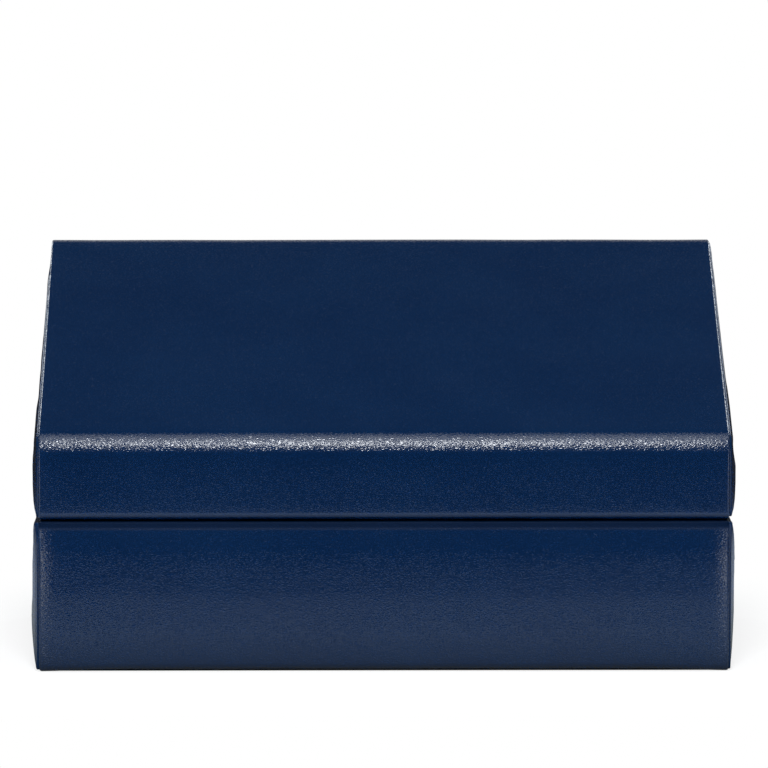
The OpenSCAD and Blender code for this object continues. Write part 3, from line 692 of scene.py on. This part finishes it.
def dress(material, edge, *names):
    """Finishes frame parts as they are, with their hard edges eased."""
    for name in names:
        obj = nodes[name]
        if not obj.data.materials:
            obj.data.materials.append(material)
        for slot in obj.material_slots:
            slot.material = material
        if edge:
            weld = obj.modifiers.new("weld", "WELD")
            weld.merge_threshold = WELD
            ease = obj.modifiers.new("ease", "BEVEL")
            ease.width, ease.segments, ease.limit_method = edge * MM, 3, "ANGLE"
            ease.angle_limit = math.radians(40)
            ease.harden_normals = True


# --- leather outside ---------------------------------------------------------
FILL = 4.0  # mm between points along the straights of a covering


def lid_chains():
    face = [[lid_room[1][0], LID_LOW]]
    back = [[lid_room[1][0], WOOD_LOW]]
    bends = (1, corner, 1.2, 0.0), (2, eased, 9.5, 3.4), (3, eased, 7.3, 6.4), (0, corner, 3.3, 1.7)
    for i, draw, outer, inner in bends:
        face.extend(draw(lid_outline, i, outer, 16))
        back.extend(corner(lid_core, i, inner, 16))
    face.append([lid_room[0][0], LID_LOW])
    back.append([lid_room[0][0], WOOD_LOW])
    return filled(np.array(face), np.array(back), FILL)


front_outline = base_outline.copy()
front_outline[3] += (0.7, -0.5)


def front_chains():
    face = [np.array([LINING_Y0, BASE_TOP])]
    back = [np.array([LINING_Y0, WOOD_TOP])]
    face.extend(corner(front_outline, 3, 0.8, 10))
    back.extend(corner(base_core, 3, 0.0, 10))
    for i in (4, 5, 6):
        for p in corner(base_outline, i, 2.5 * base_span, 5):
            face.append(p)
            back.append(np.array([CORE_Y, p[1]]))
    face.extend(corner(base_outline, 0, 3.0, 10))
    back.extend(corner(base_core, 0, 1.4, 10))
    face.append(np.array([CASE_FRONT + LIP, BASE_LOW]))
    back.append(np.array([CASE_FRONT + LIP, FOOT_Z]))
    return filled(np.array(face), np.array(back), FILL)


def back_chains():
    face = [[CASE_BACK - LIP, BASE_LOW]]
    back = [[CASE_BACK - LIP, FOOT_Z]]
    face.extend(corner(base_outline, 1, 3.0, 10))
    back.extend(corner(base_core, 1, 1.6, 10))
    face.extend(corner(base_outline, 2, 1.2, 10))
    back.extend(corner(base_core, 2, 0.0, 10))
    face.append([LINING_Y1, BASE_TOP])
    back.append([LINING_Y1, WOOD_TOP])
    return filled(np.array(face), np.array(back), FILL)


def leaf_rooms(z0, z1):
    """The boxes that the hinge leaves need in the turned edge of a leather."""
    half = HINGE_W / 2
    return [((s * HINGE_X - half, LEAF_Y, z0), (s * HINGE_X + half, CASE_BACK + 1, z1)) for s in (-1, 1)]


lid_way, front_way, back_way = lid_chains(), front_chains(), back_chains()
lid_leather = wrapped_sheet("lid_leather", *lid_way, -WRAP_X, WRAP_X, across, roll=0.85)
cut_out(lid_leather, leaf_rooms(LID_LOW - 1, WOOD_LOW))
settle(lid_leather, navy, "lid", "lid_wrap_leather")

front_leather = wrapped_sheet("front_leather", *front_way, -WRAP_X, WRAP_X, standing, roll=1.1)
settle(front_leather, navy_front, "base", "base_front_leather")

back_leather = wrapped_sheet("back_leather", *back_way, -WRAP_X, WRAP_X, across, roll=1.0)
cut_out(back_leather, leaf_rooms(WOOD_TOP, BASE_TOP + 1))
settle(back_leather, navy, "base", "base_back_leather")

PAD_DEPTHS = (0.0, 0.12, 0.35, 0.8, 1.5, 2.2, 3.0, 4.5, 6.0, 9.0, 12.0, 15.0, 18.0)
PAD_RISE = np.interp(
    PAD_DEPTHS, (0, 0.12, 0.35, 0.8, 1.5, 3, 6, 12, 18), (0.14, 0.185, 0.22, 0.255, 0.295, 0.4, 0.525, 0.71, 0.86)
)
lid_middle = np.array([CASE_FRONT + 0.6 * CASE_DEPTH, LID_LOW + 0.36 * (on_slope(CASE_BACK) - LID_LOW)])
base_middle = np.array([CASE_FRONT + CASE_DEPTH / 2, BASE_LOW + base_span / 2])
# How full each side panel is stuffed: heights in mm, and the share of its crown there.
LID_FULL = {
    "left": (
        (62, 70, 80, 88, 98, 110, 130, 146, 151, 155, 160),
        (1.35, 1.20, 0.97, 0.85, 0.82, 0.77, 0.73, 0.68, 0.36, 0.10, 0.06),
    ),
    "right": ((62, 70, 80, 88, 98, 110, 130, 150, 160), (1.45, 1.32, 1.12, 0.95, 0.92, 0.92, 0.87, 0.90, 0.80)),
}
BASE_FULL = {
    "left": ((0, 5, 10, 30, 45, 52, 58, 61.5), (1.5, 1.3, 1.15, 1.05, 1.03, 1.15, 1.5, 2.2)),
    "right": ((0, 10, 30, 45, 52, 58, 61.5), (1.0, 1.0, 0.98, 0.95, 1.05, 1.3, 1.6)),
}
for side, hand in ((-1, "left"), (1, "right")):
    for body, outline, radii, middle, softer, drop, fuller in (
        ("lid", lid_core, (2.4, 0.9, 3.4, 6.4), lid_middle, (1.0, 0.5, 18.0, 2.0), 0.0, LID_FULL[hand]),
        ("base", base_core, (1.4, 1.6, 0.9, 1.0), base_middle, (2.0, 1.0, 0.5, 1.0), 1.0, BASE_FULL[hand]),
    ):
        pad = crowned_panel(
            f"{body}_side_cushion_{hand}", outline, radii, SIDE_X, side, PAD_DEPTHS, PAD_FOOT + PAD_CROWN * PAD_RISE,
            middle, PAD_FOOT + PAD_CROWN - 0.15, softer=softer, drop=drop, fuller=fuller,
        )
        plump(pad, near_board(pad, WRAP_X + 0.9, side), 3.0, 0.25)
        settle(pad, navy_side, body, f"{body}_side_pad_{hand}")

for side, hand in ((-1, "left"), (1, "right")):
    x0, x1 = sorted((side * LIN_X, side * SIDE_X))
    u0, u1 = sorted((side * (IN_X - SIDE_LIP), side * SIDE_X))
    for name, low, high, body, strip in (
        ("base_rim_fold", (x0, LINING_Y0, WOOD_TOP), (x1, LINING_Y1, BASE_TOP), "base", "base_edge_strips"),
        ("base_foot_fold", (u0, CASE_FRONT + LIP, BASE_LOW), (u1, CASE_BACK - LIP, FOOT_Z), "base", "base_edge_strips"),
        ("lid_rim_fold", (x0, lid_room[0][0], LID_LOW), (x1, lid_room[1][0], WOOD_LOW), "lid", "lid_rim_strips"),
    ):
        settle(slab(f"{name}_{hand}", low, high, 0.35), navy_soft, body, strip)

# --- linings -----------------------------------------------------------------
room = np.array([[-LIN_X, LINING_Y0], [LIN_X, LINING_Y0], [LIN_X, LINING_Y1], [-LIN_X, LINING_Y1]])
walls = np.array([[-IN_X, BOARD_Y], [IN_X, BOARD_Y], [IN_X, BACK_BOARD_Y], [-IN_X, BACK_BOARD_Y]])
lining_face, lining_back = (ring_of(p, [r] * 4, [52, 30, 52, 30], 5)[::-1] for p, r in ((room, 1.6), (walls, 0.9)))
wall_lining = wrapped_sheet(
    "base_wall_lining", lining_face, lining_back, PAD_Z, WOOD_TOP, upright, roll=0.5, wave=0.08, closed=True
)
settle(wall_lining, suede, "base", "base_lining")

lid_face, lid_back = filled(
    np.vstack([corner(lid_room, i, r, 6) for i, r in ((1, 0.0), (2, 3.0), (3, 3.0), (0, 0.0))])[::-1],
    np.vstack([corner(lid_boards, i, 0.0, 6) for i in (1, 2, 3, 0)])[::-1],
    5.0,
)
lid_inside = wrapped_sheet("lid_inner_lining", lid_face, lid_back, -IN_X, IN_X, across, roll=0.4, wave=0.08)
settle(lid_inside, suede, "lid", "lid_lining")

room_middle = np.array([5.0, 98.0])
for side, hand in ((-1, "left"), (1, "right")):
    panel = crowned_panel(
        f"lid_side_lining_{hand}", lid_room, (0.9, 0.9, 2.0, 2.0), -IN_X, -side,
        (0.0, 0.15, 0.5, 2.0, 8.0), (0.4, 0.75, 1.0, 1.1, 1.15), room_middle, 1.2, wave=0.04,
    )
    settle(panel, suede, "lid", "lid_lining_sides")


def floor_cushion():
    """The quilted floor pad: a low crown, dipped along its sewn cross lines."""
    xs, ys = np.linspace(-IN_X, IN_X, 95), np.linspace(BOARD_Y, BACK_BOARD_Y, 57)
    top = []
    for y in ys:
        row = []
        for x in xs:
            edge = min(IN_X - abs(x), y - BOARD_Y, BACK_BOARD_Y - y)
            seam = min(abs(math.sin((x + y) / 11.0)), abs(math.sin((x - y) / 11.0)))
            lift = min(1.0, edge / 1.5) ** 0.5 * (0.5 + 0.5 * min(1.0, seam * 3.0))
            row.append((x, y, FLOOR_Z + 0.35 + 0.8 * lift + ripple((x, y, 0), 20.0, 0.06)))
        top.append(row)
    top = np.array(top)
    low = top.copy()
    low[:, :, 2] = FLOOR_Z
    n, m = len(ys), len(xs)
    faces = grid_faces(n, m) + [f[::-1] for f in grid_faces(n, m, start=n * m)]
    rim = [r * m for r in range(n)] + [(n - 1) * m + c for c in range(1, m)]
    rim += [r * m + m - 1 for r in range(n - 2, -1, -1)] + [c for c in range(m - 2, 0, -1)]
    faces += [(a, b, b + n * m, a + n * m) for a, b in zip(rim, rim[1:] + rim[:1])]
    return finished_mesh("floor_cushion", np.vstack([top.reshape(-1, 3), low.reshape(-1, 3)]), faces)


floor_pad = settle(floor_cushion(), suede_pale, "base", "base_floor_pad")


def mirror_surround():
    """The padded frame round the mirror: rounded in section, mitred by its own curve at the corners."""
    half, s0, s1 = MIRROR_W / 2 + FRAME_W, MIRROR_S, MIRROR_S + mirror_l + 2 * FRAME_W
    outline = np.array([[-half, s0], [half, s0], [half, s1], [-half, s1]])
    section = [(0.15, 0.0), (0.0, 0.8), (0.05, 1.7), (0.5, 2.5), (1.3, 2.95), (2.6, 3.15), (4.6, 3.2), (6.4, 3.1)]
    section += [(7.8, 2.8), (8.8, 2.35), (9.3, 2.02), (8.2, 2.0), (8.0, 0.05)]
    rows = []
    for depth, high in section:
        ring = ring_of(inset(outline, depth), [max(5.0 - depth * 0.45, 1.2)] * 4, [36, 24, 36, 24], 6)
        wave = 0.0 if high < 0.5 else 0.06
        rows.append([from_slant(*p, high + ripple((*p, 0), 14.0, wave)) for p in ring])
    return lofted("mirror_surround", rows, round_rows=True)


surround = settle(mirror_surround(), suede_pale, "lid", "mirror_frame")


def ruched_pocket():
    """The gathered pocket: an elastic mouth, soft pleats under it and a flat sewn foot."""
    half = LIN_X - POCKET_SIDE
    outer = [(0.0, 3.55), (0.35, 3.85), (1.2, 3.95), (4.2, 3.95), (5.0, 3.6), (6.5, 3.75), (9.0, 3.9), (13.0, 3.75)]
    outer += [(18.0, 3.2), (23.0, 2.5), (28.0, 1.75), (31.5, 1.2), (33.2, 0.85), (34.0, 0.45), (34.0, 0.0)]
    inner = [(26.0, 0.0), (18.0, 0.0), (10.0, 0.0), (10.4, 0.9), (9.0, 2.2), (5.0, 2.6), (1.0, 2.9), (0.2, 3.15)]
    rows = []
    for x in np.linspace(-half, half, 330):
        ends = min(1.0, (half - abs(x)) / 5.0)
        close = 0.3 + 0.7 * math.sin(ends * math.pi / 2)
        uneven = 2.2 * field.noise(Vector((x / 19.0, 3.0, 0.0)))
        pleat = math.sin(x * 0.86 + uneven) * 0.65 + math.sin(x * 1.71 + 1.3) * 0.35
        ring = []
        for k, (s, high) in enumerate(outer + inner):
            fold = 0.0
            if 4.5 < s < 33 and k < len(outer):
                fold = pleat * (0.42 if s < 7 else 0.5 * (1 - (s - 7) / 30)) - 0.12
            elif k < len(outer) and 0.3 < s <= 4.5:
                fold = 0.10 * math.sin(x * 2.6)
            ring.append(from_slant(x, pocket_s + s, max(0.0, (high + fold) * close)))
        rows.append(ring)
    return lofted("ruched_pocket", rows, sharp=70)


pocket = settle(ruched_pocket(), suede_pale, "lid", "lid_pocket")


# --- tray --------------------------------------------------------------------
def ring_rolls():
    """The row of stuffed rolls that rings sit between, with gathered ends."""
    pitch = (TRAY_IN_Y1 - TRAY_IN_Y0) / ROLLS
    end = COLUMN_X - 0.35
    gathered = (0.9, 0.12), (0.35, 0.35), (0.0, 0.6), (0.3, 0.8), (1.4, 0.93), (3.2, 0.985)
    stations = [(-end + x, share) for x, share in gathered]
    stations += [(x, 1.0) for x in np.linspace(-end + 6, end - 6, 14)]
    stations += [(-x, share) for x, share in reversed(stations[:6])]
    around = 20
    points, faces = [], []
    for k in range(ROLLS):
        y, z = TRAY_IN_Y0 + pitch * (k + 0.5), TRAY_FLOOR + ROLL_R
        start = len(points)
        for x, share in stations:
            for a in np.linspace(0, 2 * math.pi, around, endpoint=False):
                gather = 1 + (0.05 * math.sin(a * 9 + k) * (1 - share) * 2.0)
                wave = ripple((x, k * 40 + 9 * math.cos(a), 9 * math.sin(a)), 13.0, 0.1)
                r = (ROLL_R - 0.12) * share * gather + wave
                points.append((x, y + r * math.cos(a), z + r * math.sin(a)))
        faces += grid_faces(len(stations), around, False, True, start)
        faces.append(tuple(range(start, start + around)))
        faces.append(tuple(range(len(points) - around, len(points))))
    return finished_mesh("ring_rolls", points, faces, 80)


rolls = ring_rolls()
plump(rolls, [], 2.0, 0.12)
settle(rolls, suede_pale, "tray", "tray_ring_rolls")


def tab_outline():
    half = TAB_W / 2
    angles = np.linspace(0.02, math.pi - 0.02, 17)
    round_top = [(half * math.cos(a), TAB_H - half + half * math.sin(a)) for a in angles]
    return np.array([[-half, -TAB_IN], [half, -TAB_IN], *round_top])


def leather_tab(name, outline, place, thick, stitch):
    """A flat tab with rolled edges and a sewn line just inside them."""
    sewn_in, thread_r, along, around = 1.7, 0.2, 5, 6
    edge = (0.25, 0.0), (0.05, 0.2), (0.0, 0.5), (0.05, 0.8), (0.3, 1.0)
    groove = (1.3, 0.97), (sewn_in, 0.9), (2.1, 0.97), (3.0, 1.0)
    made = lofted(name, [[place(*p, thick * high) for p in inset(outline, depth)] for depth, high in edge + groove])
    line = inset(outline, sewn_in)
    run = np.vstack([line, line[:1]])
    length = np.concatenate([[0], np.cumsum(np.linalg.norm(np.diff(run, axis=0), axis=1))])
    count = int(length[-1] / stitch)
    points, faces = [], []
    for k in range(count):
        a, b = ((k + f) / count * length[-1] for f in (0.12, 0.78))
        path = [[np.interp(t, length, run[:, i]) for i in (0, 1)] for t in np.linspace(a, b, along)]
        start = len(points)
        for i, p in enumerate(path):
            way = unit(np.subtract(path[min(i + 1, along - 1)], path[max(i - 1, 0)]))
            wide = thread_r * math.sin(math.pi * (i + 0.6) / (along + 0.2))
            for turn in np.linspace(0, 2 * math.pi, around, endpoint=False):
                side = left_of(way) * wide * math.cos(turn)
                points.append(place(p[0] + side[0], p[1] + side[1], thick * 0.9 + 0.1 + wide * math.sin(turn)))
        faces += grid_faces(along, around, False, True, start)
        faces += [tuple(range(start, start + around)), tuple(range(len(points) - around, len(points)))]
    return made, finished_mesh(name + "_stitches", points, faces, 80)


for side, hand in ((-1, "left"), (1, "right")):
    def on_wall(u, v, high, side=side):
        return (side * (TRAY_IN_X - high), TAB_Y + u, TRAY_TOP + v)

    tab, sewing = leather_tab(f"lift_tab_{hand}", tab_outline(), on_wall, TAB_T, 2.2)
    settle(tab, navy, "tray", f"tray_tab_{hand}")
    settle(sewing, thread, "tray")

flap_box = [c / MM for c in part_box("flap_tab")[0]], [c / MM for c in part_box("flap_tab")[1]]


def on_flap(u, v, high):
    return (u, v, flap_box[0][2] + high)


(fx0, fy0, _), (fx1, fy1, _) = flap_box
cut = 2.5
flap_corners = [fx0, fy0 + cut], [fx0 + cut, fy0], [fx1 - cut, fy0], [fx1, fy0 + cut], [fx1, fy1], [fx0, fy1]
flap_outline = np.array(flap_corners)
pull, pull_sewing = leather_tab("flap_pull", flap_outline, on_flap, 0.8, 2.0)
settle(pull, navy, "flap", "flap_tab")
settle(pull_sewing, thread, "flap")

# --- parts kept from the frame -----------------------------------------------
dress(fibreboard, 0, *[n for n in nodes if (n.endswith("_board") or "_side_board_" in n) and n != "flap_board"])
dress(suede, 0.45, "flap_board")
dress(suede, 0.5, "tray_wall_front", "tray_wall_back", "tray_wall_left", "tray_wall_right")
dress(suede, 0.5, "tray_divider_left", "tray_divider_right", "tray_cross_dividers", "tray_flap_rest")
dress(suede, 0.5, "base_divider_long", "base_divider_cross")
dress(suede, 0.4, "tray_ledge_left", "tray_ledge_right")
dress(suede_pale, 0.2, "tray_floor")
dress(cover, 0.25, "bottom_cover")
dress(navy, 0.8, "hook_rail_left", "hook_rail_right")
dress(brass, 0, "necklace_hooks_left", "necklace_hooks_right", "flap_pin")
dress(brass, 0, "hinge_pins", "base_hinge_leaves", "lid_hinge_leaves")
dress(brass, 0.1, "base_hinge_screws", "lid_hinge_screws")
dress(nickel, 0.1, "base_magnets", "lid_magnets")
dress(mirror, 0.4, "mirror_glass")


# --- floor, light and camera -------------------------------------------------
def table():
    """A pale table top; the camera sees it fade to white away from the case, with the shadow kept. What the case
    reflects of it carries painted shade at its foot and behind it, and a painted blue light in front of it."""
    half_x, half_y, back_by, under_by = 0.50, 0.33, 0.045, 0.00005
    mesh = bpy.data.meshes.new("table")
    bm = bmesh.new()
    bmesh.ops.create_grid(bm, x_segments=8, y_segments=8, size=1.0)
    for v in bm.verts:
        v.co = Vector((v.co.x * half_x, v.co.y * half_y + back_by, -under_by))
    bm.to_mesh(mesh)
    bm.free()
    obj = new_object("table", mesh)
    mat = bpy.data.materials.new("White table")
    mat.use_nodes = True
    tree = mat.node_tree
    tree.nodes.clear()
    place = own_place(tree)
    beyond = vectors(tree, "SUBTRACT", vectors(tree, "ABSOLUTE", place)[0], (0.144, 0.086, 0.0))[0]
    far = vectors(tree, "LENGTH", vectors(tree, "MAXIMUM", beyond, (0.0, 0.0, 0.0))[0])["Value"]
    fade = ramp(tree, far, 0.0, 0.12, 0.82, 1.0)
    path = add(tree, "ShaderNodeLightPath").outputs
    depth = parts(tree, place)["Y"]
    # Painted light for rays other than the camera's: a blue tint in front of the case, shade behind it and at its foot.
    painted_tint_and_back_shade = mixed(tree, ramp(tree, depth, -0.10, 0.0), (0.60, 0.74, 0.97, 1), (0.26, 0.30, 0.38, 1))
    painted_floor_shading = mixed(tree, ramp(tree, far, 0.0, 0.07), (0.30, 0.32, 0.30, 1), painted_tint_and_back_shade)
    tone = mixed(tree, path["Is Camera Ray"], painted_floor_shading, (0.95, 0.95, 0.95, 1))
    paint = add(tree, "ShaderNodeBsdfDiffuse", {"Color": tone}).outputs[0]
    glow = add(tree, "ShaderNodeEmission", {"Strength": 1.0}).outputs[0]
    shown = maths(tree, "MULTIPLY", path["Is Camera Ray"], fade)
    both = add(tree, "ShaderNodeMixShader", {0: shown, 1: paint, 2: glow})
    out = tree.nodes.new("ShaderNodeOutputMaterial")
    tree.links.new(both.outputs[0], out.inputs["Surface"])
    mesh.materials.append(mat)


def surroundings():
    """White for the eye; for light, a pale wall behind the case in a dim room."""
    world = bpy.data.worlds.new("studio")
    bpy.context.scene.world = world
    world.use_nodes = True
    tree = world.node_tree
    tree.nodes.clear()
    way = parts(tree, add(tree, "ShaderNodeTexCoord").outputs["Generated"])
    behind = ramp(tree, way["Y"], 0.1, 0.4)
    quick, slow = ramp(tree, way["Z"], 0.42, 0.58, 0.65, 0.0), ramp(tree, way["Z"], 0.42, 0.70, 0.4, 0.0)
    fading = maths(tree, "ADD", quick, slow)
    band = maths(tree, "MULTIPLY", ramp(tree, way["Z"], 0.24, 0.38), fading)
    wall = maths(tree, "MULTIPLY", band, behind)
    path = add(tree, "ShaderNodeLightPath").outputs
    level = maths(tree, "ADD", wall, 0.03)
    shown = maths(tree, "MULTIPLY", path["Is Glossy Ray"], wall)
    for ray in ("Is Camera Ray", "Is Transmission Ray", "Is Singular Ray"):
        shown = maths(tree, "ADD", shown, path[ray])
    strength = maths(tree, "MAXIMUM", maths(tree, "MINIMUM", shown, 1.0), level)
    glow = add(tree, "ShaderNodeBackground", {"Color": (1, 1, 1, 1), "Strength": strength})
    out = tree.nodes.new("ShaderNodeOutputWorld")
    tree.links.new(glow.outputs[0], out.inputs["Surface"])


def softbox(name, place, aim, width, height, power, colour):
    light = bpy.data.lights.new(name, "AREA")
    light.shape, light.size, light.size_y, light.energy, light.color = "RECTANGLE", width, height, power, colour
    obj = new_object(name, light)
    obj.location = place
    obj.rotation_euler = (Vector(aim) - Vector(place)).to_track_quat("-Z", "Y").to_euler()
    obj.visible_camera = False


table()
surroundings()
SOFT, COOL = (0.94, 0.97, 1.0), (0.85, 0.93, 1.0)
softbox("front high", (-0.015, -0.888, 0.917), (0, -0.05, 0.08), 0.20, 0.30, 13.0, SOFT)
softbox("top", (0.0, -0.34, 1.28), (0, -0.02, 0.08), 1.6, 0.8, 11.2, SOFT)
softbox("behind left", (-0.84, 1.32, 0.98), (-0.1, 0, 0.08), 0.4, 0.60, 6.0, COOL)
softbox("behind right", (0.84, 1.32, 0.98), (0.1, 0, 0.08), 0.4, 0.60, 6.0, COOL)
softbox("left", (-1.05, -0.70, 0.36), (0, 0, 0.06), 0.35, 0.5, 1.6, SOFT)
softbox("low left", (-0.74, -1.10, -0.04), (-0.1, 0, 0.04), 0.35, 0.40, 1.7, SOFT)
softbox("low right", (0.74, -1.10, -0.04), (0.1, 0, 0.04), 0.35, 0.40, 1.7, SOFT)
softbox("right", (1.15, -0.55, 0.36), (0, 0, 0.06), 0.35, 0.5, 1.0, SOFT)

PITCH, YAW = math.radians(6.53), math.radians(0.53)
camera = new_object("camera", bpy.data.cameras.new("camera"))
camera.location = (-0.026, -2.893, 0.439)
camera.rotation_euler = (math.pi / 2 - PITCH, 0, -YAW)
camera.data.sensor_width, camera.data.lens = 36.0, 327.8
camera.data.clip_end = 20.0
bpy.context.scene.camera = camera
bpy.context.scene.view_settings.view_transform = "Standard"
